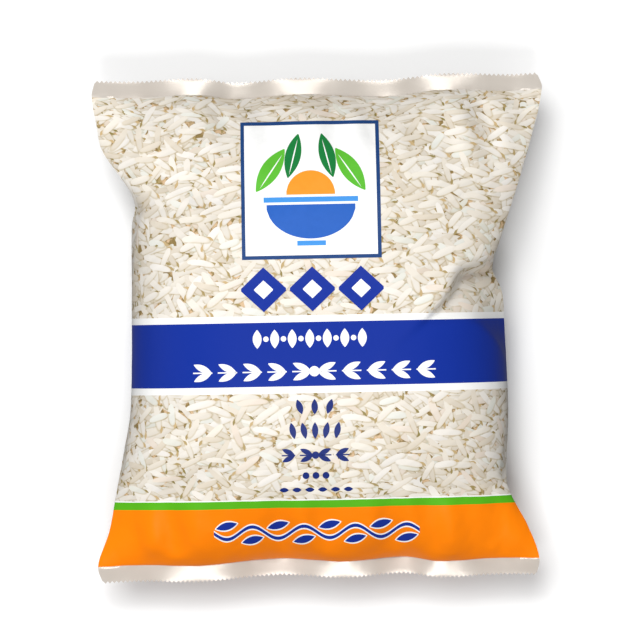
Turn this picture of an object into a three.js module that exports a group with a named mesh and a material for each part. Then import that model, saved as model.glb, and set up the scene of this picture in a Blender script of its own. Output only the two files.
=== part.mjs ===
// A filled pillow pack of long grain rice, lying on its back with the printed front up.
// One tube of film, closed by a flat seal with a zigzag edge at each end, so it is one piece.
// Millimetres. X runs across the pack, Y from the bottom seal to the top seal, Z up from the
// surface that it lies on. The origin is under the middle of the pack's box.
import * as THREE from "three";

// Driving dimensions
const FLAT_WIDTH = 320; // the empty tube laid flat, which is the width of the seals
const PACK_LENGTH = 356; // between the zigzag edges, over the filled pack
const THICKNESS = 108; // of the filled middle
const SEAL_LENGTH = 12; // of the flat strip at each end
const FILM_AT_SEAL = 1.2; // both films and the ink, drawn thicker than life to hold as a solid
const EDGE_HEIGHT = 50; // of the side line at the middle, above the ground
const SEAL_HEIGHT = { top: 46, bottom: 43 }; // above the ground
const TEETH = 98; // zigzag teeth along each seal
const TOOTH_DEPTH = 1.6;
const BACK_SEAM = { width: 13, height: 1.2, step: 0.8 }; // the tube's own seam, flat on the back

// Fineness of the mesh
const COLUMNS = 45; // across the front, and as many across the back
const COLUMN_CROWDING = 0.72; // 0 spaces them evenly, 1 as a half circle's shadow
const BODY_ROWS = 46; // along the filled part
const ROW_CROWDING = 0.55;
const SEAL_ROWS = [0.35, 0.75]; // as shares of the seal's length
const SEAM_SHARE = 0.09; // of the half width, where the back's columns follow the seam

// How far each side is drawn in from half the flat width, as [place along Y, draw]. The corners
// keep nearly the seal's full width, and the filled part between them draws in.
const LEFT_DRAW = [
  [-178, 4.5],
  [-166, 1],
  [-142, 9.3],
  [-120, 14.4],
  [-84, 21.3],
  [-54, 26.6],
  [26, 28.9],
  [74, 29.8],
  [89, 32.4],
  [100, 28.8],
  [114, 19.2],
  [129, 9.6],
  [146, 6.3],
  [166, 2.7],
  [178, 5.5],
];
const RIGHT_DRAW = [
  [-178, 8],
  [-166, 5.6],
  [-142, 14],
  [-120, 25.4],
  [-108, 28.2],
  [-62, 26],
  [2, 27.6],
  [24, 29],
  [41, 35.6],
  [62, 29.2],
  [110, 13.2],
  [166, -2.6],
  [178, 1],
];

// The four flat corners. Each ends at a fold, where the round filled side begins: starts is the
// fold's place along Y at the side, slant how far it moves towards the middle for each millimetre
// inwards, crease how deep it is pressed in, facet how steeply the film next to it rises from the
// side, and lift how far the corner's own side stands up at the fold.
const CORNERS = {
  left: {
    top: { starts: 92, slant: 0.35, crease: 1.5, facet: 2.4, lift: 10 },
    bottom: { starts: -104, slant: 0.3, crease: 0.8, facet: 3.2, lift: 6 },
  },
  right: {
    top: { starts: 42, slant: 0.7, crease: 1.5, facet: 0.9, lift: 22 },
    bottom: { starts: -112, slant: 0.35, crease: 1.8, facet: 2.4, lift: 8 },
  },
};
const FOLD = { softness: 12, width: 6, reach: 62, bend: 33 };
const LIFT_SOFTNESS = 7; // to either side of the fold, where a corner's side rises

// A facet sets in over a short step at its fold, and runs out along the side. Its inner edge is
// round by a share of its height.
const FACET = { step: 5, length: 76, edge: 0.05 };

// How the film's height falls off towards the sides and the seals. Each is a pair of powers:
// a high spread keeps the middle flat, and a low turn makes a round edge.
const FRONT = { sides: { spread: 4, turn: 0.6 }, corners: { spread: 3, turn: 0.9 } };
const BACK = { sides: { spread: 3, turn: 0.45 }, corners: { spread: 3, turn: 1.15 } };
const LENGTHWISE = { spread: 2.6, turn: 0.75 };
const BACK_BELLY = 1.12; // how much deeper the back would hang if the ground didn't press it flat

// The long waves of the seals, as [place along X, wave]: 1 where a seal stands highest, reaches
// furthest out and curls its edge down, and -1 where it does the opposite.
const SEAL_WAVES = {
  top: [
    [-160, -0.3],
    [-122, -0.5],
    [-83, 1],
    [-54, -1],
    [-12, 1],
    [50, -1],
    [94, 1],
    [138, -0.6],
    [160, -0.4],
  ],
  bottom: [
    [-160, -0.2],
    [-128, -0.3],
    [-88, 1],
    [-30, -1],
    [16, 1],
    [58, -1],
    [84, 1],
    [125, -0.5],
    [160, -0.4],
  ],
};
const WAVE = { height: 2.4, reach: 1.5, curl: 2.2 };
const WAVE_FADE = 52; // distance from the seal at which its waves are gone
const SEAL_BOW = [1.5, 420, 0]; // how far the filled pack draws the middle of each seal inwards

// Gathers: short ridges that run from a seal up the filled part. Each wave, and the bow above, is
// [size, wavelength, place of a crest].
const GATHERS = {
  crest: 17, // distance from the seal at which they stand highest
  reach: 74,
  lean: 0.12, // sideways, for each millimetre along
  backShare: 0.6, // the back's weight pulls them smoother
  waves: [[1.5, 37, 9], [1.2, 26, -31], [0.75, 53, 70]],
};

const HALF_LENGTH = PACK_LENGTH / 2;
const FILLED_END = HALF_LENGTH - SEAL_LENGTH; // the seals' inner lines lie at plus and minus this

const clamp = THREE.MathUtils.clamp;
const lerp = THREE.MathUtils.lerp;
const smooth = (from, to, value) => {
  const t = clamp((value - from) / (to - from), 0, 1);
  return t * t * (3 - 2 * t);
};

// A smooth value through a side's points, by cubics with the slopes of a Catmull-Rom curve.
function drawAt(points, y) {
  const last = points.length - 1;
  let i = 0;
  while (i < last - 1 && y > points[i + 1][0]) i += 1;
  const slope = (k) => {
    const [before, after] = [points[Math.max(k - 1, 0)], points[Math.min(k + 1, last)]];
    return (after[1] - before[1]) / (after[0] - before[0]);
  };
  const span = points[i + 1][0] - points[i][0];
  const t = clamp((y - points[i][0]) / span, 0, 1);
  const [t2, t3] = [t * t, t * t * t];
  return (
    points[i][1] * (2 * t3 - 3 * t2 + 1) +
    points[i + 1][1] * (3 * t2 - 2 * t3) +
    span * (slope(i) * (t3 - 2 * t2 + t) + slope(i + 1) * (t3 - t2))
  );
}

const sealWave = (x, y) => drawAt(y > 0 ? SEAL_WAVES.top : SEAL_WAVES.bottom, x);
const wave = ([size, length, crest], x) => size * Math.cos((2 * Math.PI * (x - crest)) / length);
const waveSum = (waves, x) => waves.reduce((sum, one) => sum + wave(one, x), 0);

const halfWidth = (y) => (FLAT_WIDTH - drawAt(LEFT_DRAW, y) - drawAt(RIGHT_DRAW, y)) / 2;
const middleX = (y) => (drawAt(LEFT_DRAW, y) - drawAt(RIGHT_DRAW, y)) / 2;

// The point of the plan at share across, from -1 on the left side to 1 on the right.
const planX = (across, y) => middleX(y) + across * halfWidth(y);

// The nearest corner, how far inwards of its side a point lies, and how far past its fold, which
// runs straight inwards at first and then slants.
function cornerAt(across, x, y) {
  const { top, bottom } = across < 0 ? CORNERS.left : CORNERS.right;
  const side = across < 0 ? -1 : 1;
  const inwards = side * (planX(side, y) - x);
  const towardsTop = y > (top.starts + bottom.starts) / 2;
  const corner = towardsTop ? top : bottom;
  const slant = (corner.slant * inwards ** 5) / (inwards ** 4 + FOLD.bend ** 4);
  const past = (towardsTop ? y - top.starts : bottom.starts - y) + slant;
  return { corner, inwards, past };
}

// 1 in the flat corners by the seals, 0 on the round filled side, and soft across the fold.
function cornerShare(across, x, y) {
  const { past } = cornerAt(across, x, y);
  return smooth(-FOLD.softness, 2 * FOLD.softness, past) * smooth(0, 0.6, Math.abs(y) / FILLED_END);
}

// The crease itself: a shallow groove along the line where the corner turns into the side.
function foldGroove(across, x, y) {
  const { corner, inwards, past } = cornerAt(across, x, y);
  const fade = 1 - smooth(0, FOLD.reach, inwards);
  return corner.crease * fade * Math.exp(-((past / FOLD.width) ** 2));
}

// The front's rise with the facets pressed into it. Each is a plane through the side line, lowest
// at its fold, where the flat corner stands over it.
function pressed(across, x, y, rise) {
  const { corner, inwards, past } = cornerAt(across, x, y);
  const facet = (corner.facet * inwards) / clamp(1 + past / FACET.length, 0.01, 1);
  const lower = (rise + facet - Math.hypot(rise - facet, FACET.edge * rise)) / 2;
  return lerp(rise, clamp(lower, 0, rise), smooth(0, FACET.step, -past));
}

// How far the side of a flat corner stands up: most at its fold, and not at all at the seal.
function cornerLift(across, x, y) {
  const { corner, past } = cornerAt(across, x, y);
  const toSeal = FILLED_END - Math.abs(y);
  const share = clamp(toSeal / (toSeal + Math.max(past, 1e-6)), 0, 1);
  return corner.lift * across ** 4 * smooth(-LIFT_SOFTNESS, LIFT_SOFTNESS, past) * share;
}

// How full the pack is along its length: 0 at the seals, 1 in the middle.
function fullness(y) {
  const along = clamp(Math.abs(y) / FILLED_END, 0, 1);
  return (1 - along ** LENGTHWISE.spread) ** LENGTHWISE.turn;
}

// How high the film stands across the pack: 0 at the sides and 1 in the middle, steep by the
// round sides and slanting evenly into the flat corners.
function crown(across, x, y, { sides, corners }) {
  const share = cornerShare(across, x, y);
  const spread = lerp(sides.spread, corners.spread, share);
  return (1 - Math.abs(across) ** spread) ** lerp(sides.turn, corners.turn, share);
}

const sealNearness = (y) => 1 - smooth(0, WAVE_FADE, FILLED_END - Math.abs(y));

// Height of the pack's side line, with the long waves of the nearer seal and the corners' lift.
function sideHeight(across, x, y) {
  const end = y > 0 ? "top" : "bottom";
  const along = clamp(Math.abs(y) / FILLED_END, 0, 1);
  const onSeal = Math.max(Math.abs(y) - FILLED_END, 0) / SEAL_LENGTH;
  const height = WAVE.height * sealNearness(y) - WAVE.curl * onSeal;
  const even = lerp(EDGE_HEIGHT, SEAL_HEIGHT[end], along ** 3);
  return even + height * sealWave(x, y) + cornerLift(across, x, y);
}

function gathers(across, x, y) {
  const away = FILLED_END - Math.abs(y);
  if (away <= 0) return 0;
  const rise = smooth(0, GATHERS.crest, away) * (1 - smooth(GATHERS.crest, GATHERS.reach, away));
  return rise * (1 - across ** 6) * waveSum(GATHERS.waves, x + GATHERS.lean * y);
}

// The seam's strip stands off the back by its own thickness, all along the pack.
function seamHeight(x) {
  const pastEdge = Math.abs(x) - BACK_SEAM.width / 2;
  return BACK_SEAM.height * (1 - smooth(0, BACK_SEAM.step, pastEdge));
}

// Where a point comes along Y, as the waves push it out and the bow draws it in.
function drawnY(x, y) {
  const outwards = WAVE.reach * sealWave(x, y) - wave(SEAL_BOW, x);
  return y + Math.sign(y) * sealNearness(y) * outwards;
}

// Half the film's own thickness, which runs out at the pack's sides.
const filmHalf = (across) => (FILM_AT_SEAL / 2) * (1 - across ** 12);

// A point of the front. The crease can't be deeper than the pack is there.
function frontPoint(across, y) {
  const x = planX(across, y);
  const unpressed = (THICKNESS - EDGE_HEIGHT) * fullness(y) * crown(across, x, y, FRONT);
  const rise = pressed(across, x, y, unpressed);
  const crease = Math.min(foldGroove(across, x, y), rise / 4);
  const top = Math.max(0, rise + gathers(across, x, y) - crease);
  return new THREE.Vector3(x, drawnY(x, y), sideHeight(across, x, y) + filmHalf(across) + top);
}

// A point of the back, which lies flat where it would hang below the ground.
function backPoint(across, y) {
  const x = planX(across, y);
  const depth = BACK_BELLY * EDGE_HEIGHT * fullness(y) * crown(across, x, y, BACK);
  const relief = GATHERS.backShare * gathers(across, x, y) - seamHeight(x);
  const z = sideHeight(across, x, y) - filmHalf(across) - depth + relief;
  return new THREE.Vector3(x, drawnY(x, y), Math.max(0, z));
}

// Places from -1 to 1 that crowd towards both ends, where the pack turns fastest.
const crowded = (count, crowding) => {
  const even = Array.from({ length: count + 1 }, (_, i) => (2 * i) / count - 1);
  return even.map((t) => lerp(t, Math.sin((Math.PI / 2) * t), crowding));
};

const rowPlaces = () => {
  const seal = SEAL_ROWS.map((share) => FILLED_END + share * SEAL_LENGTH);
  const filled = crowded(BODY_ROWS, ROW_CROWDING).map((share) => share * FILLED_END);
  return [...seal.map((y) => -y).reverse(), ...filled, ...seal];
};

const frontColumns = () => crowded(COLUMNS, COLUMN_CROWDING);

// The back has the same columns, but for the middle ones, which follow both edges of the seam.
const backColumns = (y) => {
  const edge = BACK_SEAM.width / 2;
  const lines = [-edge - BACK_SEAM.step, -edge, edge, edge + BACK_SEAM.step];
  const seamColumns = lines.map((x) => (x - middleX(y)) / halfWidth(y));
  const clearOfSeam = frontColumns().filter((place) => Math.abs(place) > SEAM_SHARE);
  return [...clearOfSeam, ...seamColumns].sort((a, b) => a - b);
};

// The zigzag cut: a tip for each tooth and a valley between each two.
const toothPlaces = () => {
  const places = [];
  for (let i = 0; i <= 2 * TEETH; i += 1) {
    places.push({ across: i / TEETH - 1, out: i % 2 ? HALF_LENGTH : HALF_LENGTH - TOOTH_DEPTH });
  }
  return places;
};

// Collects triangles by vertex number. A row holds its points on the front and on the back, as
// {across, id}. Its first and last point are shared, so the sides close by themselves.
class Skin {
  positions = [];
  triangles = [];

  vertex(point) {
    this.positions.push(point.x, point.y, point.z);
    return this.positions.length / 3 - 1;
  }

  row(frontPlaces, backPlaces, yOf) {
    const line = (pointAt, places) =>
      places.map((across, i) => ({ across, id: this.vertex(pointAt(across, yOf(i))) }));
    const front = line(frontPoint, frontPlaces);
    const back = line(backPoint, backPlaces);
    back[0] = front[0];
    back[back.length - 1] = front[front.length - 1];
    return { front, back };
  }

  // Joins two rows on one face of the pack, point to point, or by their places across where
  // one of them has more points.
  strip(lower, upper, turned) {
    const even = lower.length === upper.length;
    const place = (row, k) => (even ? k : row[k].across);
    let [i, j] = [0, 0];
    while (i < lower.length - 1 || j < upper.length - 1) {
      const upperDone = j === upper.length - 1;
      const onLower = upperDone || (i < lower.length - 1 && place(lower, i + 1) <= place(upper, j + 1));
      const next = onLower ? lower[i + 1] : upper[j + 1];
      this.triangle(lower[i].id, next.id, upper[j].id, turned);
      if (onLower) i += 1;
      else j += 1;
    }
  }

  // The narrow wall between the front's and the back's zigzag.
  wall({ front, back }, turned) {
    for (let i = 0; i < front.length - 1; i += 1) {
      this.triangle(front[i].id, front[i + 1].id, back[i + 1].id, turned);
      this.triangle(front[i].id, back[i + 1].id, back[i].id, turned);
    }
  }

  triangle(a, b, c, turned) {
    if (a === b || b === c || c === a) return;
    this.triangles.push(a, ...(turned ? [c, b] : [b, c]));
  }

  geometry() {
    const made = new THREE.BufferGeometry();
    made.setAttribute("position", new THREE.Float32BufferAttribute(this.positions, 3));
    made.setIndex(this.triangles);
    made.computeVertexNormals();
    return made;
  }
}

function packGeometry() {
  const skin = new Skin();
  const teeth = toothPlaces();
  const toothColumns = teeth.map((tooth) => tooth.across);
  const zigzag = (end) => skin.row(toothColumns, toothColumns, (i) => end * teeth[i].out);
  const straight = (y) => skin.row(frontColumns(), backColumns(y), () => y);
  const rows = [zigzag(-1), ...rowPlaces().map(straight), zigzag(1)];
  for (let r = 0; r < rows.length - 1; r += 1) {
    skin.strip(rows[r].front, rows[r + 1].front, false);
    skin.strip(rows[r].back, rows[r + 1].back, true);
  }
  skin.wall(rows[0], true);
  skin.wall(rows[rows.length - 1], false);
  return skin.geometry();
}

const film = new THREE.MeshStandardMaterial({ color: 0xe9dfcf, roughness: 0.3, metalness: 0 });
const pack = new THREE.Mesh(packGeometry(), film);
pack.name = "rice_pack";

// The middle of the pack's box comes to the origin, and its flat underside to the ground.
pack.geometry.computeBoundingBox();
const box = pack.geometry.boundingBox;
pack.position.set(-(box.min.x + box.max.x) / 2, -(box.min.y + box.max.y) / 2, -box.min.z);

const model = new THREE.Group();
model.add(pack);

export default model;
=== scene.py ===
"""A shut pillow pack of long grain rice, lying on its back with its printed front up.

The film is one tube, drawn finer here than in the solid but by the same rules. The print on it
is a picture of rice grains with bands of colour, and ornaments of ink lie on top of that.
Lengths in this script are millimetres until a mesh is made.
"""
import math

import bpy
import numpy as np
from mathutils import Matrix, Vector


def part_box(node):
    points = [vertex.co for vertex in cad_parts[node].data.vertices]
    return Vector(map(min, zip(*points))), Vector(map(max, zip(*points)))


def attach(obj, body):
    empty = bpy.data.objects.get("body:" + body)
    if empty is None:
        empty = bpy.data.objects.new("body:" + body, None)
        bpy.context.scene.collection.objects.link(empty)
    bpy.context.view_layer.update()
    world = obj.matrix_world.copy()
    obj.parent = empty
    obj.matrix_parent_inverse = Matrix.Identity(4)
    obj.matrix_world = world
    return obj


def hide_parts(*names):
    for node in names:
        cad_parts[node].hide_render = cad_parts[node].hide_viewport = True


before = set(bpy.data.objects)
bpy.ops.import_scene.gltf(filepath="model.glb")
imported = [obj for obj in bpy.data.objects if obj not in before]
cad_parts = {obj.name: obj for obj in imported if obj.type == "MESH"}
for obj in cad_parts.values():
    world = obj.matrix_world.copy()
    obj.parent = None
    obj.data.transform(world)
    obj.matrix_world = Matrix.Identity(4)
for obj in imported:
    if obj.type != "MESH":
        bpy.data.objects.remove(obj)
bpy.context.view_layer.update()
MM = 0.001
NODE = "rice_pack"

# The pack's sizes, as in its solid
FLAT_WIDTH = 320.0  # the empty tube laid flat
HALF_LENGTH = 178.0
SEAL_LENGTH = 12.0
FILLED_END = HALF_LENGTH - SEAL_LENGTH
THICKNESS = 108.0
EDGE_HEIGHT = 50.0  # of the side line at the middle, above the ground
SEAL_HEIGHT = {1: 46.0, -1: 43.0}  # of the top and the bottom seal
TEETH = 98
TOOTH_DEPTH = 1.6
FILM_AT_SEAL = 0.7
SEAM_WIDTH = 13.0
SEAM_HEIGHT = 0.5
SEAM_END_GAP = 1.6  # from the seam's end to the roots of the teeth

# How far each side is drawn in from half the flat width, as (place along Y, draw)
LEFT_DRAW = (
    (-178, 4.5), (-166, 1), (-142, 9.3), (-120, 14.4), (-84, 21.3), (-54, 26.6), (26, 28.9),
    (74, 29.8), (89, 32.4), (100, 28.8), (114, 19.2), (129, 9.6), (146, 6.3), (166, 2.7), (178, 5.5),
)
RIGHT_DRAW = (
    (-178, 8), (-166, 5.6), (-142, 14), (-120, 25.4), (-108, 28.2), (-62, 26), (2, 27.6),
    (24, 29), (41, 35.6), (62, 29.2), (110, 13.2), (166, -2.6), (178, 1),
)

# The flat corners, by side and end: where each one's fold meets the side, how far it slants
# towards the middle for each millimetre inwards, how deep it is creased, how steeply the facet
# rises from the side that is pressed into the round side next to it, and how far the corner's
# own side stands up at the fold
CORNERS = {
    (-1, 1): (92, 0.35, 1.5, 2.4, 10),
    (-1, -1): (-104, 0.3, 0.8, 3.2, 6),
    (1, 1): (42, 0.7, 1.5, 0.9, 22),
    (1, -1): (-112, 0.35, 1.8, 2.4, 8),
}
FOLD_SOFTNESS = 12.0
FOLD_WIDTH = 6.0
FOLD_REACH = 62.0
FOLD_BEND = 33.0  # how far inwards a fold runs straight before it slants
FACET_STEP = 5.0  # over which a facet sets in at its fold
FACET_LENGTH = 76.0  # along the side, to where it has run out
FACET_EDGE = 0.05  # how round its inner edge is, as a share of its height
LIFT_SOFTNESS = 7.0  # to either side of the fold, where a corner's side rises

# How the film's height falls off towards the sides and the seals, as pairs of powers: a high first
# one keeps the middle flat, and a low second one makes a round edge
FRONT = (4.0, 0.6)
FRONT_CORNERS = (3.0, 0.9)
BACK = (3.0, 0.45)
BACK_CORNERS = (3.0, 1.15)
LENGTHWISE = (2.6, 0.75)
BACK_BELLY = 1.12

# The waves of the top and the bottom seal, as (place along X, wave): 1 where the seal stands
# highest, reaches furthest out and curls its edge down, and -1 where it does the opposite
SEAL_WAVES = {
    1: (
        (-160, -0.3), (-122, -0.5), (-83, 1), (-54, -1), (-12, 1), (50, -1), (94, 1), (138, -0.6),
        (160, -0.4),
    ),
    -1: (
        (-160, -0.2), (-128, -0.3), (-88, 1), (-30, -1), (16, 1), (58, -1), (84, 1), (125, -0.5),
        (160, -0.4),
    ),
}
WAVE_HEIGHT = 2.4
WAVE_REACH = 1.5
WAVE_CURL = 2.2
WAVE_FADE = 52.0  # how far from the seal its waves have run out
SEAL_BOW = (1.5, 420.0)  # the seals' middle is drawn in by this, and falls off as this long wave

# Gathers as (size, wavelength, place of a crest)
GATHER_WAVES = ((1.5, 37, 9), (1.2, 26, -31), (0.75, 53, 70))
GATHER_CREST = 17.0  # how far from the seal they are highest
GATHER_REACH = 74.0
GATHER_LEAN = 0.12
GATHER_BACK_SHARE = 0.6

# Puckers, the fine pleats that only the film shows
PUCKERS_PER_SEAL = 26
PUCKER_HEIGHT = (0.35, 1.1)
PUCKER_WIDTH = (3.0, 6.5)
PUCKER_REACH = (16.0, 46.0)
PUCKER_LEAN = (-0.22, 0.22)
PUCKER_SPREAD = 0.94  # the share of the seal's width that has puckers
FULL_RELIEF = 6.0  # puckers are at their full height where the film rises this far

# Wrinkles, by chance and all over: their height, size and seed, and how slack the film is for them
# over the middle and beside the seals, and where that changes
WRINKLES = (1.7, 16.0, 3.0)
TAUT, SLACK = 0.25, 1.0
SLACK_RANGE = (20.0, 95.0)  # from the seal
GROUND_RANGE = (0.5, 5.0)  # the film lies smooth on the ground, and is slack above it

# Fineness of the film's mesh
COLUMNS = 2 * TEETH
BODY_ROWS = 218
SEAL_ROWS = 6
SHARP_ANGLE = math.radians(50)

# Where the front and the back go on the bake's sheet, as (start, width), and its margin
FRONT_SHEET = (0.004, 0.652)
BACK_SHEET = (0.664, 0.332)
SHEET_MARGIN = 0.01
WALL_STRIPS = ((0.001, 0.007), (0.993, 0.999))  # of the bottom and the top cut edges

# The print, in real lengths along Y over the filled pack
WHITE_STRIPE_TOP = (4.5, 9.1)
BLUE_BAND = (-40.2, 4.5)
WHITE_STRIPE_LOW = (-45.0, -40.2)
KEYLINE = (-120.6, -119.8)
GREEN_STRIPE = (-125.9, -120.6)
ORANGE_BAND = (-180.0, -125.9)

# Inks as shares of light
WHITE = (0.93, 0.93, 0.92)
BLUE = (0.006, 0.029, 0.30)
FRAME_BLUE = (0.012, 0.054, 0.19)
ROW_BLUE = (0.005, 0.020, 0.165)
GREEN = (0.095, 0.44, 0.012)
ORANGE = (0.97, 0.225, 0.001)
FILM_ROUGHNESS = 0.38
FILM_SPECULAR = 0.18

# The printed emblem's inks, as red, green and blue out of 255
LEAF_GREEN = (92, 184, 52)
DEEP_GREEN = (24, 122, 58)
SUN_ORANGE = (255, 150, 40)
BOWL_BLUE = (28, 92, 184)
RIM_BLUE = (64, 146, 222)
INK_LIFT = 0.12  # of ink above the film, drawn thicker than life
INK_STEP = 0.1  # more for each ink that lies on another
SUNK = 0.2  # how far the underside of what lies on the film goes into it
MOTIF_GRID = 1.2  # how fine the ornaments' grids are
VINE_LENGTH = 145.0
VINE_WAVES = 4
RIB_PITCH = 1.7  # of the back seam's crimp
RIB_HEIGHT = 0.16
SEAM_GRID = (9, 0.42)  # points across the seam, and the way from one to the next along it

# The bare film's pearly colours, as pairs that its clouds run between
SEAL_PEARL = ((0.52, 0.465, 0.41), (0.66, 0.61, 0.55))
SEAM_PEARL = ((0.60, 0.55, 0.48), (0.72, 0.67, 0.60))

# The pictured grains: half their length and breadth, each as (least, range), and how they bend
GRAIN_LENGTH = (7.4, 4.0)
GRAIN_BREADTH = (1.9, 0.8)
GRAIN_BEND = 0.01
GRAIN_SHARE = 0.88  # how many of a layer's places hold a grain

# The rice picture's colours, as pairs that chance runs between, and single ones
GLASSY = ((0.75, 0.67, 0.55), (0.83, 0.765, 0.665))
CHALKY = ((0.90, 0.86, 0.805), (0.86, 0.80, 0.695))
ROSY = (0.84, 0.69, 0.58)
COOL = (0.80, 0.82, 0.75)
RIM_TINT = (0.86, 0.79, 0.67)
SHADE_TINT = (0.63, 0.55, 0.34)
TIP_GAPS = ((0.25, 0.20, 0.06), (0.58, 0.42, 0.22))
DEEP_GAPS = ((0.27, 0.19, 0.07), (0.66, 0.47, 0.29))

# Layers of pictured grains from the lowest up: each layer's turn in degrees, the room that a grain
# has along and across itself, how far off the middle of it a grain may lie, and how far it swings
CROWDED = ((12, -66, 38, -22, 58, -4), (20.0, 7.8, 1.0), 0.85, 1.1)
LOOSE = ((-34, 50, 16, -14, 72, 26, -42, -4), (33.0, 17.0, 1.0), 0.5, 0.7)
LAYER_LIGHT = (0.83, 0.925)  # of the lowest layer and of the top one

# The lamps, in metres, as (name, place, size, watts, whether the film mirrors it)
LAMPS = (
    ("key", (-0.85, 1.05, 3.15), (2.0, 2.0), 75, False),
    ("low_fill", (0.2, -2.2, 1.9), (1.2, 0.8), 15, False),
    ("upper_glint", (-0.1, 1.3, 2.8), (1.1, 0.6), 19, True),
    ("lower_glint", (-0.1, -1.3, 2.8), (1.1, 0.6), 22, True),
    ("left_strip", (-1.6, 0.0, 0.75), (0.12, 1.6), 1, True),
)
LAMP_AIM = (0, 0, 0.05)
WORLD_LIGHT = 0.2
FLOOR_SIZE = 8
FLOOR_WHITE = 0.96

# The photograph's frame
PHOTO_PIXELS = 640
PIXEL = 320 / 451  # millimetres to a pixel, from the seal's width
PACK_MIDDLE_PIXEL = (317.5, 328.0)
PHOTO_ROLL = math.radians(1.1)
CAMERA_DISTANCE = 3200.0


def smooth(low, high, value):
    t = np.clip((value - low) / (high - low), 0, 1)
    return t * t * (3 - 2 * t)


def lerp(a, b, t):
    return a + (b - a) * t


# The film's form: across runs from -1 on the left side to 1 on the right, y along the pack


def draw_at(points, y):
    """A smooth value through a side's points, by cubics with Catmull-Rom slopes."""
    ys, draws = np.array(points, dtype=float).T
    last = len(ys) - 1
    after = np.minimum(np.arange(last + 1) + 1, last)
    before = np.maximum(np.arange(last + 1) - 1, 0)
    slopes = (draws[after] - draws[before]) / (ys[after] - ys[before])
    i = np.clip(np.searchsorted(ys, y, side="left") - 1, 0, last - 1)
    span = ys[i + 1] - ys[i]
    t = np.clip((y - ys[i]) / span, 0, 1)
    t2, t3 = t * t, t * t * t
    ends = draws[i] * (2 * t3 - 3 * t2 + 1) + draws[i + 1] * (3 * t2 - 2 * t3)
    return ends + span * (slopes[i] * (t3 - 2 * t2 + t) + slopes[i + 1] * (t3 - t2))


def half_width(y):
    return (FLAT_WIDTH - draw_at(LEFT_DRAW, y) - draw_at(RIGHT_DRAW, y)) / 2


def middle_x(y):
    return (draw_at(LEFT_DRAW, y) - draw_at(RIGHT_DRAW, y)) / 2


def plan_x(across, y):
    return middle_x(y) + across * half_width(y)


def wave_sum(waves, x):
    return sum(size * np.cos(2 * np.pi * (x - crest) / length) for size, length, crest in waves)


def seal_wave(x, y):
    return np.where(y > 0, draw_at(SEAL_WAVES[1], x), draw_at(SEAL_WAVES[-1], x))


def at_corner(across, x, y):
    """The nearest corner's crease, facet and lift, how far inwards of its side a point lies, and
    how far past its fold."""
    side = np.where(across < 0, -1, 1)
    inwards = side * (plan_x(side, y) - x)
    starts = {end: np.where(side < 0, CORNERS[-1, end][0], CORNERS[1, end][0]) for end in (1, -1)}
    towards_top = y > (starts[1] + starts[-1]) / 2

    def pick(k):
        top = np.where(side < 0, CORNERS[-1, 1][k], CORNERS[1, 1][k])
        bottom = np.where(side < 0, CORNERS[-1, -1][k], CORNERS[1, -1][k])
        return np.where(towards_top, top, bottom)

    slant = pick(1) * inwards**5 / (inwards**4 + FOLD_BEND**4)
    past = np.where(towards_top, y - starts[1], starts[-1] - y) + slant
    return pick(2), pick(3), pick(4), inwards, past


def fullness(y):
    along = np.clip(np.abs(y) / FILLED_END, 0, 1)
    return (1 - along ** LENGTHWISE[0]) ** LENGTHWISE[1]


def crown(across, x, y, sides, corners):
    past = at_corner(across, x, y)[-1]
    near_end = smooth(0, 0.6, np.abs(y) / FILLED_END)
    share = smooth(-FOLD_SOFTNESS, 2 * FOLD_SOFTNESS, past) * near_end
    spread, turn = lerp(sides[0], corners[0], share), lerp(sides[1], corners[1], share)
    return np.maximum(1 - np.abs(across) ** spread, 0) ** turn


def fold_groove(across, x, y):
    crease, _, _, inwards, past = at_corner(across, x, y)
    return crease * (1 - smooth(0, FOLD_REACH, inwards)) * np.exp(-((past / FOLD_WIDTH) ** 2))


def pressed(across, x, y, rise):
    """The front's rise with the facets pressed into it. Each is a plane through the side line,
    lowest at its fold, where the flat corner stands over it."""
    _, slope, _, inwards, past = at_corner(across, x, y)
    facet = slope * inwards / np.clip(1 + past / FACET_LENGTH, 0.01, 1)
    lower = (rise + facet - np.sqrt((rise - facet) ** 2 + (FACET_EDGE * rise) ** 2)) / 2
    return lerp(rise, np.clip(lower, 0, rise), smooth(0, FACET_STEP, -past))


def seal_nearness(y):
    return 1 - smooth(0, WAVE_FADE, FILLED_END - np.abs(y))


def corner_lift(across, x, y):
    """How far the side of a flat corner stands up, most at its fold and not at all at the seal."""
    *_, lift, _, past = at_corner(across, x, y)
    away = FILLED_END - np.abs(y)
    to_seal = np.clip(away / (away + np.maximum(past, 1e-6)), 0, 1)
    return lift * across**4 * smooth(-LIFT_SOFTNESS, LIFT_SOFTNESS, past) * to_seal


def side_height(across, x, y):
    along = np.clip(np.abs(y) / FILLED_END, 0, 1)
    seal = np.where(y > 0, SEAL_HEIGHT[1], SEAL_HEIGHT[-1])
    on_seal = np.maximum(np.abs(y) - FILLED_END, 0) / SEAL_LENGTH
    wave = WAVE_HEIGHT * seal_nearness(y) - WAVE_CURL * on_seal
    return lerp(EDGE_HEIGHT, seal, along**3) + wave * seal_wave(x, y) + corner_lift(across, x, y)


def drawn_y(x, y):
    bow = SEAL_BOW[0] * np.cos(2 * np.pi * x / SEAL_BOW[1])
    return y + np.sign(y) * seal_nearness(y) * (WAVE_REACH * seal_wave(x, y) - bow)


def gathers(across, x, y):
    away = FILLED_END - np.abs(y)
    rise = smooth(0, GATHER_CREST, away) * (1 - smooth(GATHER_CREST, GATHER_REACH, away))
    return rise * (1 - across**6) * wave_sum(GATHER_WAVES, x + GATHER_LEAN * y)


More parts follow.
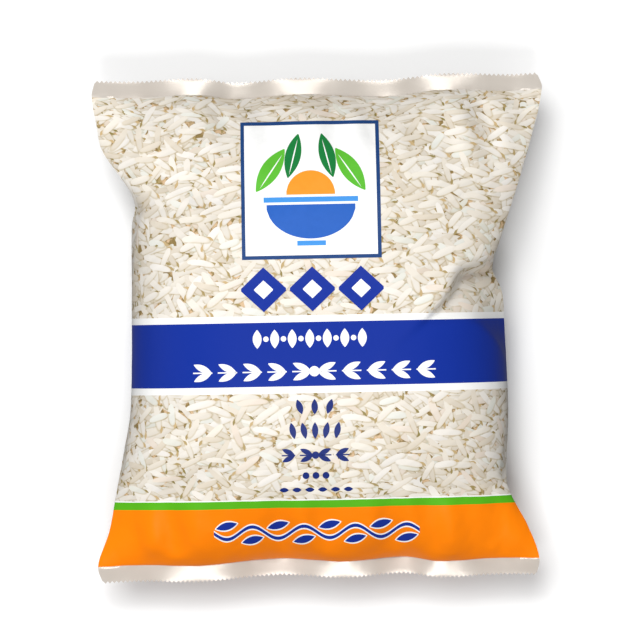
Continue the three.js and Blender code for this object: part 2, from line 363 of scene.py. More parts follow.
def puckers(across, x, y, seed):
    """Narrow pleats that run from the seals a short way up the film."""
    rng = np.random.default_rng(seed)
    relief = np.zeros(np.broadcast(across, x, y).shape)
    for end in (1, -1):
        away = np.maximum(FILLED_END - end * y, 0)
        for k in range(PUCKERS_PER_SEAL):
            place = (k + rng.uniform(0.1, 0.9)) / PUCKERS_PER_SEAL - 0.5
            place *= PUCKER_SPREAD * FLAT_WIDTH
            spans = (PUCKER_HEIGHT, PUCKER_WIDTH, PUCKER_REACH)
            height, width, reach = (rng.uniform(*span) for span in spans)
            lean = rng.uniform(*PUCKER_LEAN)
            shape = np.exp(-(((x - place - lean * away) / (width * (1 + away / reach))) ** 2))
            fade = smooth(0, 0.3 * reach, away) * (1 - smooth(0.3 * reach, reach, away))
            relief += height * shape * fade
    return relief


def film_half(across):
    return FILM_AT_SEAL / 2 * (1 - across**12)


def front_point(across, y):
    x = plan_x(across, y)
    unpressed = (THICKNESS - EDGE_HEIGHT) * fullness(y) * crown(across, x, y, FRONT, FRONT_CORNERS)
    rise = pressed(across, x, y, unpressed)
    crease = np.minimum(fold_groove(across, x, y), rise / 4)
    relief = gathers(across, x, y) + puckers(across, x, y, seed=5) * np.minimum(1, rise / FULL_RELIEF)
    top = np.maximum(0, rise + relief - crease)
    z = side_height(across, x, y) + film_half(across) + top
    return np.stack([x, drawn_y(x, y), z], axis=-1)


def back_point(across, y):
    x = plan_x(across, y)
    depth = BACK_BELLY * EDGE_HEIGHT * fullness(y) * crown(across, x, y, BACK, BACK_CORNERS)
    pleats = puckers(across, x, y, seed=11) * np.minimum(1, depth / FULL_RELIEF)
    relief = GATHER_BACK_SHARE * gathers(across, x, y) - pleats
    under_seam = SEAM_HEIGHT * (1 - smooth(SEAM_WIDTH / 2, SEAM_WIDTH / 2 + 3, np.abs(x)))
    z = side_height(across, x, y) - film_half(across) - depth + relief
    return np.stack([x, drawn_y(x, y), np.maximum(under_seam, z)], axis=-1)


# The film's mesh


def crowded(count, crowding):
    """Places from -1 to 1, evenly spread or crowded towards both ends."""
    even = np.linspace(-1, 1, count + 1)
    return lerp(even, np.sin(np.pi / 2 * even), crowding)


def film_rows():
    """Places along Y for the rows, and for each row its places across."""
    filled = FILLED_END * crowded(BODY_ROWS, 0.5)
    seal = FILLED_END + SEAL_LENGTH * np.arange(1, SEAL_ROWS + 1) / SEAL_ROWS
    ys = np.concatenate([-seal[::-1], filled, seal])
    crowding = smooth(2, 34, FILLED_END - np.abs(ys))
    return ys, crowded(COLUMNS, crowding[:, None])


def arc_lengths(points):
    steps = np.linalg.norm(np.diff(points, axis=-2), axis=-1)
    return np.concatenate([np.zeros(steps.shape[:-1] + (1,)), np.cumsum(steps, axis=-1)], axis=-1)


def film_coordinates(front, back):
    """Each point's place on the film laid flat: how far round from the front's middle line and
    how far along it. The back has one such place counted from either side."""
    round_front, round_back = arc_lengths(front), arc_lengths(back)
    middle = np.array([np.interp(0, row[:, 0], run) for row, run in zip(front, round_front)])[:, None]
    u_front = round_front - middle
    u_left = u_front[:, :1] - round_back
    u_right = u_front[:, -1:] + round_back[:, -1:] - round_back
    spine = front[:, COLUMNS // 2, :]
    along = arc_lengths(spine)
    v = along - np.interp(0, spine[:, 1], along)
    return u_front, u_left, u_right, v


def mesh_object(name, points, faces):
    mesh = bpy.data.meshes.new(name)
    mesh.from_pydata((np.asarray(points) * MM).tolist(), [], faces)
    made = bpy.data.objects.new(name, mesh)
    bpy.context.collection.objects.link(made)
    return made


def cells(ids, facing=1):
    """The four corners of each cell of a grid of points, counter-clockwise or turned round."""
    corners = np.stack([ids[:-1, :-1], ids[:-1, 1:], ids[1:, 1:], ids[1:, :-1]], axis=-1)
    return corners.reshape(-1, 4)[:, ::facing]


def into_cad_box(points):
    """How far to move the form so that it stands where the solid does."""
    cad_low, cad_high = (np.array(corner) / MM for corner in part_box(NODE))
    shift = (cad_low + cad_high - points.min(axis=0) - points.max(axis=0)) / 2
    shift[2] = cad_low[2] - points[:, 2].min()
    return shift


class Film:
    """The tube of film as grids of points, front and back, and where its print goes."""

    def __init__(self):
        self.rows, self.across = film_rows()
        y = self.rows[:, None] * np.ones_like(self.across)
        self.front, self.back = front_point(self.across, y), back_point(self.across, y)
        self.back[:, [0, -1]] = self.front[:, [0, -1]]
        self.shift = into_cad_box(np.concatenate([self.front.reshape(-1, 3), self.back.reshape(-1, 3)]))
        self.front += self.shift
        self.back += self.shift
        self.u_front, self.u_left, self.u_right, self.v = film_coordinates(self.front, self.back)

    def v_at(self, y):
        """Where a place along the filled pack comes on the film laid flat."""
        return float(np.interp(y + self.shift[1], self.front[:, COLUMNS // 2, 1], self.v))

    def bake_map(self, corner_rows, corner_columns, is_front):
        """The front takes most of the sheet that a picture of the film would be kept on."""
        lengths = arc_lengths(self.front if is_front else self.back)
        share = (lengths / lengths[:, -1:])[corner_rows, corner_columns]
        start, width = FRONT_SHEET if is_front else BACK_SHEET
        v = (self.v - self.v[0]) / (self.v[-1] - self.v[0])
        v = SHEET_MARGIN + (1 - 2 * SHEET_MARGIN) * v[corner_rows]
        return np.stack([start + width * share, v], axis=-1)


def end_walls(front_ids, back_ids):
    """The cut edge of both films at each end, as faces of point numbers."""
    walls = []
    for row, facing in ((0, 1), (-1, -1)):
        for c in range(COLUMNS):
            face = [back_ids[row, c], back_ids[row, c + 1], front_ids[row, c + 1], front_ids[row, c]]
            face = list(dict.fromkeys(int(i) for i in face))
            walls.append(face[::facing])
    return walls


def grid_maps(film):
    """Places on the film laid flat, and on the bake's sheet, for the corners of the front's faces
    and then of the back's."""
    r, c = np.meshgrid(np.arange(film.across.shape[0]), np.arange(COLUMNS + 1), indexing="ij")
    flat, sheet = [], []
    for is_front, facing in ((True, 1), (False, -1)):
        corner_rows, corner_columns = cells(r, facing), cells(c, facing)
        if is_front:
            u = film.u_front[corner_rows, corner_columns]
        else:
            on_left = corner_columns.mean(axis=1, keepdims=True) < COLUMNS / 2
            left = film.u_left[corner_rows, corner_columns]
            u = np.where(on_left, left, film.u_right[corner_rows, corner_columns])
        flat.append(np.stack([u, film.v[corner_rows]], axis=-1).reshape(-1, 2))
        sheet.append(film.bake_map(corner_rows, corner_columns, is_front).reshape(-1, 2))
    return flat, sheet


def wall_maps(film, walls, front_ids):
    """The same for the cut edges, whose strips lie in the sheet's lower and upper margins."""
    flat, sheet = [], []
    for number, wall in enumerate(walls):
        column, at_top = number % COLUMNS, number >= COLUMNS
        strip = WALL_STRIPS[at_top]
        for point in wall:
            is_back = int(point > front_ids[-1, -1])
            flat.append([[film.u_front[0, column], film.v[-1 if at_top else 0]]])
            step = 0 if point in (front_ids[0, column], front_ids[-1, column]) else 1
            across = (column + step) / (COLUMNS + 1)
            sheet.append([[FRONT_SHEET[0] + FRONT_SHEET[1] * across, strip[is_back]]])
    return flat, sheet


def finishing_values(film):
    """What the finishing tree reads, as (name, the front's values, the back's)."""
    y = np.abs(film.rows)[:, None] * np.ones_like(film.across)
    every_second = np.arange(COLUMNS + 1)[None, :] % 2 == 0
    valley = -np.sign(film.rows)[:, None] * ((y >= HALF_LENGTH - 1e-6) & every_second)
    on_seal = (y > FILLED_END + 1e-6).astype(float)
    slack = TAUT + (SLACK - TAUT) * (1 - smooth(*SLACK_RANGE, FILLED_END - y) - on_seal)
    back_slack = slack * smooth(*GROUND_RANGE, film.back[..., 2])
    return ("valley", valley, valley), ("on_seal", on_seal, on_seal), ("slack", slack, back_slack)


def film_mesh(film):
    rows, columns = film.across.shape
    front_ids = np.arange(rows * columns).reshape(rows, columns)
    back_ids = front_ids.copy()
    inner = np.arange(rows * (columns - 2)).reshape(rows, columns - 2)
    back_ids[:, 1:-1] = rows * columns + inner
    points = np.concatenate([film.front.reshape(-1, 3), film.back[:, 1:-1].reshape(-1, 3)])
    walls = end_walls(front_ids, back_ids)
    faces = cells(front_ids).tolist() + cells(back_ids, -1).tolist() + walls
    made = mesh_object("pack_film", points, faces)
    maps = zip(("film", "OFBake"), grid_maps(film), wall_maps(film, walls, front_ids))
    for name, on_grids, on_walls in maps:
        layer = made.data.uv_layers.new(name=name)
        places = np.concatenate(on_grids + on_walls).astype(np.float32)
        layer.uv.foreach_set("vector", places.ravel())
    for name, front_values, back_values in finishing_values(film):
        layer = made.data.attributes.new(name, "FLOAT", "POINT")
        values = np.concatenate([front_values.ravel(), back_values[:, 1:-1].ravel()])
        layer.data.foreach_set("value", values.astype(np.float32))
    return made


# Node trees: what Geometry Nodes and materials share


class Nodes:
    """A tree of nodes. Values are numbers, or sockets that are linked."""

    def __init__(self, tree):
        self.tree = tree

    def add(self, kind, wires=(), **settings):
        made = self.tree.nodes.new(kind)
        for key, value in settings.items():
            setattr(made, key, value)
        for key, value in dict(wires).items():
            if isinstance(value, bpy.types.NodeSocket):
                self.tree.links.new(value, made.inputs[key])
            else:
                made.inputs[key].default_value = value
        return made

    def math(self, operation, a, b=0.0, c=0.0):
        return self.add("ShaderNodeMath", {0: a, 1: b, 2: c}, operation=operation).outputs[0]

    def vector_math(self, operation, a, b=(0, 0, 0)):
        return self.add("ShaderNodeVectorMath", {0: a, 1: b}, operation=operation).outputs[0]

    def parts(self, vector):
        return self.add("ShaderNodeSeparateXYZ", {0: vector}).outputs


# Geometry Nodes: how a tree is made and used


class Tree(Nodes):
    """A Geometry Nodes tree with named inputs, in metres."""

    def __init__(self, name, inputs):
        super().__init__(bpy.data.node_groups.new(name, "GeometryNodeTree"))
        face = self.tree.interface
        face.new_socket(name="Geometry", in_out="INPUT", socket_type="NodeSocketGeometry")
        face.new_socket(name="Geometry", in_out="OUTPUT", socket_type="NodeSocketGeometry")
        for label, kind in inputs.items():
            face.new_socket(name=label, in_out="INPUT", socket_type="NodeSocket" + kind)
        self.given = self.add("NodeGroupInput").outputs

    def attribute(self, name):
        kind = "GeometryNodeInputNamedAttribute"
        return self.add(kind, {"Name": name}, data_type="FLOAT").outputs["Attribute"]

    def vector(self, x, y, z):
        return self.add("ShaderNodeCombineXYZ", {0: x, 1: y, 2: z}).outputs[0]

    def scaled(self, vector, scale):
        return self.add("ShaderNodeVectorMath", {0: vector, "Scale": scale}, operation="SCALE").outputs[0]

    def finish(self, geometry, *materials):
        """Ends in Realize Instances and one Set Material for each (material, selection)."""
        geometry = self.add("GeometryNodeRealizeInstances", {0: geometry}).outputs[0]
        for material, selection in materials:
            wires = {"Geometry": geometry, "Material": material, "Selection": selection}
            geometry = self.add("GeometryNodeSetMaterial", wires).outputs[0]
        self.tree.links.new(geometry, self.add("NodeGroupOutput").inputs[0])


def put_through(made, tree, values, solid=None):
    """Runs a mesh through a tree, thickens it if it is a sheet, and keeps the plain mesh."""
    modifier = made.modifiers.new("tree", "NODES")
    modifier.node_group = tree.tree
    for item in tree.tree.interface.items_tree:
        if item.in_out == "INPUT" and item.name in values:
            modifier[item.identifier] = values[item.name]
    if solid:
        thick = made.modifiers.new("thick", "SOLIDIFY")
        thick.thickness = solid * MM
        thick.offset = -1
    evaluated = made.evaluated_get(bpy.context.evaluated_depsgraph_get())
    mesh = bpy.data.meshes.new_from_object(evaluated)
    made.modifiers.clear()
    made.data = mesh
    mesh.shade_smooth()
    mesh.set_sharp_from_angle(angle=SHARP_ANGLE)
    return made


def finishing_tree():
    """Cuts the zigzag at both ends and wrinkles the film where it is slack."""
    inputs = {
        "Tooth depth": "Float",
        "Wrinkle height": "Float",
        "Wrinkle size": "Float",
        "Wrinkle seed": "Float",
        "Print": "Material",
        "Seal": "Material",
    }
    tree = Tree("film_finish", inputs)
    given = tree.given
    cut = tree.math("MULTIPLY", tree.attribute("valley"), given["Tooth depth"])
    toothed = tree.add("GeometryNodeSetPosition", {0: given[0], "Offset": tree.vector(0.0, cut, 0.0)})
    place = tree.add("GeometryNodeInputPosition").outputs[0]
    stretched = tree.vector_math("MULTIPLY", place, (1.0, 0.55, 1.0))
    size = tree.math("DIVIDE", 1.0, given["Wrinkle size"])
    wires = {"Vector": stretched, "W": given["Wrinkle seed"], "Scale": size, "Detail": 2.0}
    noise = tree.add("ShaderNodeTexNoise", wires, noise_dimensions="4D").outputs[0]
    swing = tree.math("MULTIPLY", tree.math("SUBTRACT", noise, 0.5), given["Wrinkle height"])
    height = tree.math("MULTIPLY", swing, tree.attribute("slack"))
    normal = tree.add("GeometryNodeInputNormal").outputs[0]
    wires = {0: toothed.outputs[0], "Offset": tree.scaled(normal, height)}
    wrinkled = tree.add("GeometryNodeSetPosition", wires).outputs[0]
    on_seal = tree.add("FunctionNodeCompare", {0: tree.attribute("on_seal"), 1: 0.4}).outputs[0]
    tree.finish(wrinkled, (given["Print"], True), (given["Seal"], on_seal))
    return tree


def laid_on(tree, geometry, film, facing, height):
    """Moves points straight down, or straight up, to a height over the film's surface."""
    place = tree.add("GeometryNodeInputPosition").outputs[0]
    outside = tree.vector_math("ADD", place, (0.0, 0.0, facing))
    surface = tree.add("GeometryNodeObjectInfo", {0: film}, transform_space="ORIGINAL")
    wires = {
        "Target Geometry": surface.outputs["Geometry"],
        "Source Position": outside,
        "Ray Direction": (0.0, 0.0, -facing),
    }
    hit = tree.add("GeometryNodeRaycast", wires).outputs["Hit Position"]
    lift = tree.vector(0.0, 0.0, tree.math("MULTIPLY", height, facing))
    wires = {0: geometry, "Position": tree.vector_math("ADD", hit, lift)}
    return tree.add("GeometryNodeSetPosition", wires).outputs[0]


def printing_tree():
    """Repeats a motif along a line, tilted one way on the left and the other way on the right,
    and lays it on the film."""
    inputs = {
        "Count": "Int",
        "Spacing": "Float",
        "Tilt": "Float",
        "Centre": "Vector",
        "Lift": "Float",
        "Film": "Object",
        "Ink": "Material",
    }
    tree = Tree("print_on_film", inputs)
    given = tree.given
    gaps = tree.math("SUBTRACT", given["Count"], 1.0)
    start = tree.math("MULTIPLY", tree.math("MULTIPLY", gaps, given["Spacing"]), -0.5)
    wires = {
        "Count": given["Count"],
        "Start Location": tree.vector(start, 0.0, 0.0),
        "Offset": tree.vector(given["Spacing"], 0.0, 0.0),
    }
    line = tree.add("GeometryNodeMeshLine", wires, mode="OFFSET").outputs[0]
    place = tree.add("GeometryNodeInputPosition").outputs[0]
    x = tree.math("ADD", tree.parts(place)[0], 1e-5)
    side = tree.math("SIGN", tree.math("SNAP", x, 1e-4))
    turn = tree.vector(0.0, 0.0, tree.math("MULTIPLY", side, given["Tilt"]))
    wires = {"Points": line, "Instance": given[0], "Rotation": turn}
    row = tree.add("GeometryNodeInstanceOnPoints", wires).outputs[0]
    row = tree.add("GeometryNodeRealizeInstances", {0: row}).outputs[0]
    row = tree.add("GeometryNodeSetPosition", {0: row, "Offset": given["Centre"]}).outputs[0]
    tree.finish(laid_on(tree, row, given["Film"], 1.0, given["Lift"]), (given["Ink"], True))
    return tree


def seam_tree():
    """Lays a strip under the film and presses a crimp of fine ribs across it."""
    inputs = {
        "Thickness": "Float",
        "Rib pitch": "Float",
        "Rib height": "Float",
        "Film": "Object",
        "Seam": "Material",
    }
    tree = Tree("back_seam", inputs)
    given = tree.given
    place = tree.add("GeometryNodeInputPosition").outputs[0]
    turns = tree.math("DIVIDE", tree.parts(place)[1], given["Rib pitch"])
    turns = tree.math("MULTIPLY", turns, 2 * math.pi)
    groove = tree.math("MULTIPLY", tree.math("ADD", tree.math("SINE", turns), 1.0), 0.5)
    pressed_in = tree.math("MULTIPLY", groove, given["Rib height"])
    height = tree.math("SUBTRACT", given["Thickness"], pressed_in)
    laid = laid_on(tree, given[0], given["Film"], -1.0, height)
    tree.finish(laid, (given["Seam"], True))
    return tree


# Materials


class Shader(Nodes):
    """A material's nodes."""

    def ramp(self, value, low, high, start=0.0, end=1.0):
        wires = {"Value": value, "From Min": low, "From Max": high, "To Min": start, "To Max": end}
        return self.add("ShaderNodeMapRange", wires, interpolation_type="SMOOTHSTEP").outputs[0]

    def mix(self, share, a, b, blend="MIX"):
        made = self.tree.nodes.new("ShaderNodeMix")
        made.data_type = "RGBA"
        made.blend_type = blend
        for socket, value in ((made.inputs[0], share), (made.inputs[6], a), (made.inputs[7], b)):
            if isinstance(value, bpy.types.NodeSocket):
                self.tree.links.new(value, socket)
            elif isinstance(value, tuple):
                socket.default_value = (*value, 1.0)
            else:
                socket.default_value = value
        return made.outputs[2]

    def turned(self, vector, angle):
        wires = {"Vector": vector, "Angle": angle}
        return self.add("ShaderNodeVectorRotate", wires, rotation_type="Z_AXIS").outputs[0]


def new_material(name, **settings):
    """A material with a Principled surface whose plain numbers are set on its own sockets."""
    material = bpy.data.materials.new(name)
    material.use_nodes = True
    surface = material.node_tree.nodes["Principled BSDF"]
    for socket, value in settings.items():
        surface.inputs[socket.replace("_", " ")].default_value = value
    return material, Shader(material.node_tree), surface


def grain_layer_group():
    """One layer of pictured rice grains over what lies under it."""
    tree = bpy.data.node_groups.new("grain_layer", "ShaderNodeTree")
    inputs = {
        "Under": "Color",
        "Place": "Vector",
        "Turn": "Float",
        "Shift": "Vector",
        "Room": "Vector",
        "Scatter": "Float",
        "Swing": "Float",
        "Light": "Float",
    }
    for label, kind in inputs.items():
        tree.interface.new_socket(name=label, in_out="INPUT", socket_type="NodeSocket" + kind)
    tree.interface.new_socket(name="Picture", in_out="OUTPUT", socket_type="NodeSocketColor")
    s = Shader(tree)
    given = s.add("NodeGroupInput").outputs

    # A shift too small to see, by the colour under it, makes Cycles finish one layer before it
    # starts the next, or it would run out of room for them
    tiny = (1e-6, 1e-6, 1e-6)
    wires = {0: given["Under"], 1: tiny, 2: given["Place"]}
    place = s.add("ShaderNodeVectorMath", wires, operation="MULTIPLY_ADD").outputs[0]

    # Each grain's middle, its own random numbers, and the place seen from it
    placed = s.vector_math("DIVIDE", s.turned(place, given["Turn"]), given["Room"])
    placed = s.vector_math("ADD", placed, given["Shift"])
    wires = {"Vector": placed, "Scale": 1.0, "Randomness": given["Scatter"]}
    cell = s.add("ShaderNodeTexVoronoi", wires, voronoi_dimensions="2D")
    chance = s.add("ShaderNodeSeparateColor", {0: cell.outputs["Color"]}).outputs
    more = s.math("MULTIPLY_ADD", chance[0], 17.0, s.math("MULTIPLY", chance[1], 7.0))
    second = s.math("FRACT", more)
    more = s.math("MULTIPLY_ADD", chance[1], 13.0, s.math("MULTIPLY", chance[2], 11.0))
    third = s.math("FRACT", more)
    from_middle = s.vector_math("SUBTRACT", placed, cell.outputs["Position"])
    from_middle = s.vector_math("MULTIPLY", from_middle, given["Room"])
    own_turn = s.math("MULTIPLY", s.math("SUBTRACT", chance[0], 0.5), given["Swing"])
    local = s.parts(s.turned(from_middle, own_turn))

    # How far down and to the right of its middle line, where it is in shade
    in_picture = s.turned(from_middle, s.math("MULTIPLY", given["Turn"], -1.0))
    wires = {0: in_picture, 1: (0.45, -0.9, 0.0)}
    lower = s.add("ShaderNodeVectorMath", wires, operation="DOT_PRODUCT")

    # A blunt spindle: edge is 0 at its middle line and 1 at its outline
    half_length = s.math("MULTIPLY_ADD", chance[1], GRAIN_LENGTH[1], GRAIN_LENGTH[0])
    half_breadth = s.math("MULTIPLY_ADD", chance[2], GRAIN_BREADTH[1], GRAIN_BREADTH[0])
    bend = s.math("MULTIPLY_ADD", second, 2 * GRAIN_BEND, -GRAIN_BEND)
    bow = s.math("MULTIPLY", s.math("MULTIPLY", local[0], local[0]), bend)
    lengthwise = s.math("ABSOLUTE", s.math("DIVIDE", local[0], half_length))
    crosswise = s.math("DIVIDE", s.math("ADD", local[1], bow), half_breadth)
    across = s.math("MULTIPLY", crosswise, crosswise)
    edge = s.math("ADD", s.math("POWER", lengthwise, 3.2), across)
    there = s.math("LESS_THAN", third, GRAIN_SHARE)
    grain = s.math("MULTIPLY", s.ramp(edge, 0.88, 1.04, 1.0, 0.0), there)
    dark_side = s.ramp(lower.outputs["Value"], -1.4, 1.8)
    shade = s.math("MULTIPLY", s.ramp(edge, 0.9, 2.0, 0.62, 0.0), there)
    shade = s.math("MULTIPLY", shade, s.math("MULTIPLY_ADD", dark_side, 0.9, 0.06))

    # Its colour: glassy or chalky, a few rosy or cool, warmer towards the rim on the dark side
    glassy = s.mix(second, *GLASSY)
    chalky = s.mix(third, *CHALKY)
    body = s.mix(s.ramp(s.math("ADD", second, chance[2]), 0.45, 1.2), glassy, chalky)
    rosy = s.math("GREATER_THAN", s.math("ADD", chance[1], third), 1.6)
    body = s.mix(s.math("MULTIPLY", rosy, 0.4), body, ROSY)
    cool = s.math("LESS_THAN", s.math("ADD", chance[1], third), 0.4)
    body = s.mix(s.math("MULTIPLY", cool, 0.6), body, COOL)
    strength = s.math("MULTIPLY_ADD", dark_side, 0.6, 0.04)
    rim = s.math("MULTIPLY", s.ramp(edge, 0.3, 1.0), strength)
    body = s.mix(rim, body, RIM_TINT, "MULTIPLY")
    lit = s.math("MULTIPLY", given["Light"], s.math("MULTIPLY_ADD", dark_side, -0.07, 1.03))
    lit = s.add("ShaderNodeCombineColor", {0: lit, 1: lit, 2: lit}).outputs[0]
    body = s.mix(1.0, body, lit, "MULTIPLY")
    under = s.mix(shade, given["Under"], SHADE_TINT, "MULTIPLY")

    # A small gap beside its tip on the dark side, some olive and some brown
    width = s.math("MULTIPLY_ADD", s.ramp(lengthwise, 0.65, 1.05), 1.1, 1.1)
    some = s.math("MULTIPLY", there, s.math("GREATER_THAN", second, 0.15))
    gap = s.math("MULTIPLY", s.ramp(lengthwise, 0.6, 0.8), s.math("LESS_THAN", edge, width))
    for share in (s.ramp(crosswise, 0.0, 0.3), s.ramp(lower.outputs["Value"], 0.0, 0.6), some):
        gap = s.math("MULTIPLY", gap, share)
    under = s.mix(gap, under, s.mix(chance[2], *TIP_GAPS))
    tree.links.new(s.mix(grain, under, body), s.add("NodeGroupOutput").inputs[0])
    return tree


def rice_picture(s, place):
    """Layers of grains over the brown of the gaps between them."""
    gaps = s.add("ShaderNodeTexNoise", {"Vector": place, "Scale": 0.2, "Detail": 2.0}).outputs[0]
    picture = s.mix(s.ramp(gaps, 0.42, 0.58), *DEEP_GAPS)
    group = grain_layer_group()
    layers = [(turn, *way) for turns, *way in (CROWDED, LOOSE) for turn in turns]
    for number, (turn, room, scatter, swing) in enumerate(layers):
        layer = s.add("ShaderNodeGroup", node_tree=group)
        for key, value in {
            "Turn": math.radians(turn),
            "Shift": (3.37 * number, 5.71 * number, 0.0),
            "Room": room,
            "Scatter": scatter,
            "Swing": swing,
            "Light": lerp(*LAYER_LIGHT, number / (len(layers) - 1)),
        }.items():
            layer.inputs[key].default_value = value
        s.tree.links.new(picture, layer.inputs["Under"])
        s.tree.links.new(place, layer.inputs["Place"])
        picture = layer.outputs[0]
    return picture


def printed_film(film):
    """The print: the rice picture, with the bands of colour over it."""
    material, s, surface = new_material(
        "printed_film", Roughness=FILM_ROUGHNESS, Specular_IOR_Level=FILM_SPECULAR
    )
    place = s.add("ShaderNodeUVMap", uv_map="film").outputs[0]
    along = s.parts(place)[1]
    picture = rice_picture(s, place)
    for (low, high), colour in (
        (WHITE_STRIPE_TOP, WHITE),
        (WHITE_STRIPE_LOW, WHITE),
        (BLUE_BAND, BLUE),
        (KEYLINE, WHITE),
        (GREEN_STRIPE, GREEN),
        (ORANGE_BAND, ORANGE),
    ):
        v_low, v_high = film.v_at(low), film.v_at(high)
        band = s.math("COMPARE", along, (v_low + v_high) / 2, (v_high - v_low) / 2)
        picture = s.mix(band, picture, colour)
    s.tree.links.new(picture, surface.inputs["Base Color"])
    return material


def seal_film():
    """The bare pearly film of the end seals."""
    material, s, surface = new_material(
        "seal_film", Roughness=0.3, Metallic=0.25, Specular_IOR_Level=0.6
    )
    place = s.add("ShaderNodeUVMap", uv_map="film").outputs[0]
    cloud = s.add("ShaderNodeTexNoise", {"Vector": place, "Scale": 0.03, "Detail": 2.0}).outputs[0]
    s.tree.links.new(s.mix(cloud, *SEAL_PEARL), surface.inputs["Base Color"])
    return material


def seam_film():
    """The bare film of the back's seam."""
    material, s, surface = new_material("seam_film", Roughness=0.3, Specular_IOR_Level=0.5)
    place = s.add("ShaderNodeTexCoord").outputs["Object"]
    cloud = s.add("ShaderNodeTexNoise", {"Vector": place, "Scale": 30.0, "Detail": 2.0}).outputs[0]
    s.tree.links.new(s.mix(cloud, *SEAM_PEARL), surface.inputs["Base Color"])
    return material


def ink(name, colour):
    """Solid ink under the film's gloss, a little uneven as print is."""
    material, s, surface = new_material(
        name, Roughness=FILM_ROUGHNESS, Specular_IOR_Level=FILM_SPECULAR
    )
    place = s.add("ShaderNodeTexCoord").outputs["Object"]
    mottle = s.add("ShaderNodeTexNoise", {"Vector": place, "Scale": 220.0, "Detail": 3.0}).outputs[0]
    paler = tuple(min(1.0, c * 1.06 + 0.004) for c in colour)
    darker = tuple(c * 0.95 for c in colour)
    s.tree.links.new(s.mix(mottle, darker, paler), surface.inputs["Base Color"])
    return material


# Ornaments, flat shapes that are laid on the film


def patch(outline, steps=(24, 8)):
    """A flat grid of points. outline(t, s) gives x and y for t and s from -1 to 1."""
    t, s = np.meshgrid(np.linspace(-1, 1, steps[0] + 1), np.linspace(-1, 1, steps[1] + 1))
    x, y = outline(t, s)
    points = np.stack([x, y, np.zeros_like(x)], axis=-1).reshape(-1, 3)
    return points, cells(np.arange(t.size).reshape(t.shape))


def joined(*patches):
    points, faces, start = [], [], 0
    for some_points, some_faces in patches:
        points.append(some_points)
        faces.append(some_faces + start)
        start += len(some_points)
    return np.concatenate(points), np.concatenate(faces)


def spindle(length, breadth, bluntness=2.0, at=(0, 0), turn=0.0):
    """A leaf or grain, narrow at both ends: 1 makes a lozenge and 2 a rounded leaf."""

    def outline(t, s):
        x = length / 2 * t
        y = breadth / 2 * s * (1 - 0.94 * np.abs(t) ** bluntness)
        angle = math.radians(turn)
        return (
            at[0] + x * math.cos(angle) - y * math.sin(angle),
            at[1] + x * math.sin(angle) + y * math.cos(angle),
        )

    return patch(outline, (max(12, int(length / MOTIF_GRID)), max(4, int(breadth / MOTIF_GRID))))


def panel(width, height, at=(0, 0)):
    def outline(t, s):
        return at[0] + width / 2 * t, at[1] + height / 2 * s

    return patch(outline, (max(2, int(width / MOTIF_GRID)), max(2, int(height / MOTIF_GRID))))


def border(outer, inner):
    """The four sides of a square frame."""
    thick, middle = (outer - inner) / 2, (outer + inner) / 4
    level = [panel(outer, thick, at=(0, side * middle)) for side in (-1, 1)]
    upright = [panel(thick, inner, at=(side * middle, 0)) for side in (-1, 1)]
    return joined(*level, *upright)


def disc(radius):
    def outline(t, s):
        return radius * t * np.sqrt(1 - s * s / 2), radius * s * np.sqrt(1 - t * t / 2)

    steps = max(6, 2 * int(radius))
    return patch(outline, (steps, steps))


def dome(half_breadth, height):
    """Half an ellipse, upright, or hanging where the height is below nought."""

    def outline(t, s):
        return half_breadth * t, height * (1 + s) / 2 * np.sqrt(1 - 0.98 * t * t)

    motif_points, motif_faces = patch(outline, (30, 12))
    return motif_points, motif_faces[:, :: 1 if height > 0 else -1]


def ribbon(length, swing, breadth):
    """One full wave of a band."""

    def outline(t, s):
        return length / 2 * t, swing * np.sin(math.pi * t) + breadth / 2 * s

    return patch(outline, (int(length), 4))


def sprig(length, breadth, spread, offset):
    """A pair of leaves that point up, on a stem between them."""
    leaves = [
        spindle(length, breadth, at=(side * offset, 0), turn=90 - side * spread)
        for side in (-1, 1)
    ]
    return joined(*leaves, panel(0.9, length))


def vine(edge):
    """One wave of stem with a leaf in each bend, wider all round by the edge."""
    length = VINE_LENGTH / VINE_WAVES
    wave = ribbon(length, 4.4, 2.4 + 2 * edge)
    leaves = [
        spindle(15 + 2 * edge, 5.4 + 2 * edge, at=(side * length / 4, -side * 5.2), turn=14)
        for side in (-1, 1)
    ]
    return joined(wave, *leaves)


